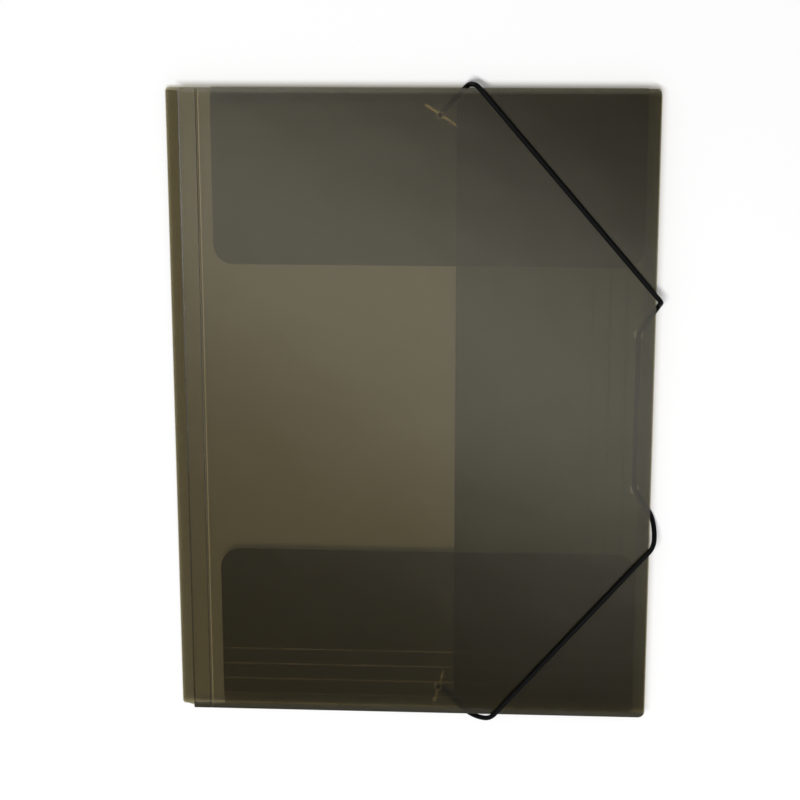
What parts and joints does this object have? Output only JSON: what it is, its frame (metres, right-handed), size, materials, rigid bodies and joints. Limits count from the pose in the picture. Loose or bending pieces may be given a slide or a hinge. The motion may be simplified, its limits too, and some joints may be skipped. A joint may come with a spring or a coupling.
{
  "type": "elastic folder",
  "caption": "Flat translucent plastic folder for papers, with inner flaps on creased strips and a black elastic cord across the corners of its opening edge.",
  "frame": {"origin": "on the surface the folder lies on, under the middle of the whole closed folder with its cord", "axes": "+Z out of the front cover, +Y towards the upper end, -X towards the spine and +X towards the opening edge"},
  "size_m": [0.2439, 0.3274, 0.0109],
  "materials": {
    "sheet": "smoke grey translucent sheet, satin",
    "cord": "black braided cover over rubber",
    "steel": "bright pressed steel"
  },
  "bodies": {
    "back": {"back_panel": "sheet", "upper_clip": "steel", "lower_clip": "steel", "upper_clip_run": "cord", "lower_clip_run": "cord", "middle_run": "cord"},
    "spine": {"spine": "sheet"},
    "cover": {"front_cover": "sheet"},
    "side_gusset": {"side_gusset": "sheet"},
    "side_flap": {"side_flap": "sheet"},
    "top_gusset": {"top_gusset": "sheet"},
    "top_flap": {"top_flap": "sheet"},
    "bottom_gusset": {"bottom_gusset": "sheet"},
    "bottom_flap": {"bottom_flap": "sheet"},
    "upper_band": {"upper_loop": "cord"},
    "lower_band": {"lower_loop": "cord"}
  },
  "joints": [
    {"name": "spine_fold", "type": "hinge", "parent": "back", "child": "spine", "pos_m": [-0.1212, 0, 0.00285], "axis": [0, -1, 0], "range_deg": [0, 140.64]},
    {"name": "cover_fold", "type": "hinge", "parent": "spine", "child": "cover", "pos_m": [-0.11486, 0, 0.00805], "axis": [0, -1, 0], "range_deg": [0, 39.36]},
    {"name": "side_gusset_fold", "type": "hinge", "parent": "back", "child": "side_gusset", "pos_m": [0.1182, 0, 0.00285], "axis": [0, 1, 0], "range_deg": [0, 141.06]},
    {"name": "side_flap_fold", "type": "hinge", "parent": "side_gusset", "child": "side_flap", "pos_m": [0.11276, 0, 0.00725], "axis": [0, 1, 0], "range_deg": [0, 38.94]},
    {"name": "top_gusset_fold", "type": "hinge", "parent": "back", "child": "top_gusset", "pos_m": [0, 0.1597, 0.00285], "axis": [-1, 0, 0], "range_deg": [0, 157.2]},
    {"name": "top_flap_fold", "type": "hinge", "parent": "top_gusset", "child": "top_flap", "pos_m": [0, 0.15232, 0.00595], "axis": [-1, 0, 0], "range_deg": [0, 22.8], "deforming": ["top_flap"]},
    {"name": "bottom_gusset_fold", "type": "hinge", "parent": "back", "child": "bottom_gusset", "pos_m": [0, -0.1597, 0.00285], "axis": [1, 0, 0], "range_deg": [0, 157.2]},
    {"name": "bottom_flap_fold", "type": "hinge", "parent": "bottom_gusset", "child": "bottom_flap", "pos_m": [0, -0.15232, 0.00595], "axis": [1, 0, 0], "range_deg": [0, 22.8], "deforming": ["bottom_flap"]},
    {"name": "upper_band_release", "type": "hinge", "parent": "back", "child": "upper_band", "pos_m": [0.10341, 0.13363, 0.00545], "axis": [-0.6549, 0.7557, 0], "range_deg": [0, 347.05], "deforming": ["upper_loop"]},
    {"name": "lower_band_release", "type": "hinge", "parent": "back", "child": "lower_band", "pos_m": [0.10805, -0.13913, 0.00545], "axis": [0.6536, 0.7568, 0], "range_deg": [0, 347.05], "deforming": ["lower_loop"]}
  ],
  "couplings": [
    {"joint": "cover_fold", "follows": "spine_fold", "ratio": 0.27986},
    {"joint": "side_gusset_fold", "follows": "spine_fold", "ratio": 1.003},
    {"joint": "side_flap_fold", "follows": "spine_fold", "ratio": 0.27687},
    {"joint": "top_gusset_fold", "follows": "spine_fold", "ratio": 1.1177},
    {"joint": "top_flap_fold", "follows": "spine_fold", "ratio": 0.16211},
    {"joint": "bottom_gusset_fold", "follows": "spine_fold", "ratio": 1.1177},
    {"joint": "bottom_flap_fold", "follows": "spine_fold", "ratio": 0.16211},
    {"joint": "upper_band_release", "follows": "spine_fold", "ratio": 2.4676},
    {"joint": "lower_band_release", "follows": "spine_fold", "ratio": 2.4676}
  ]
}
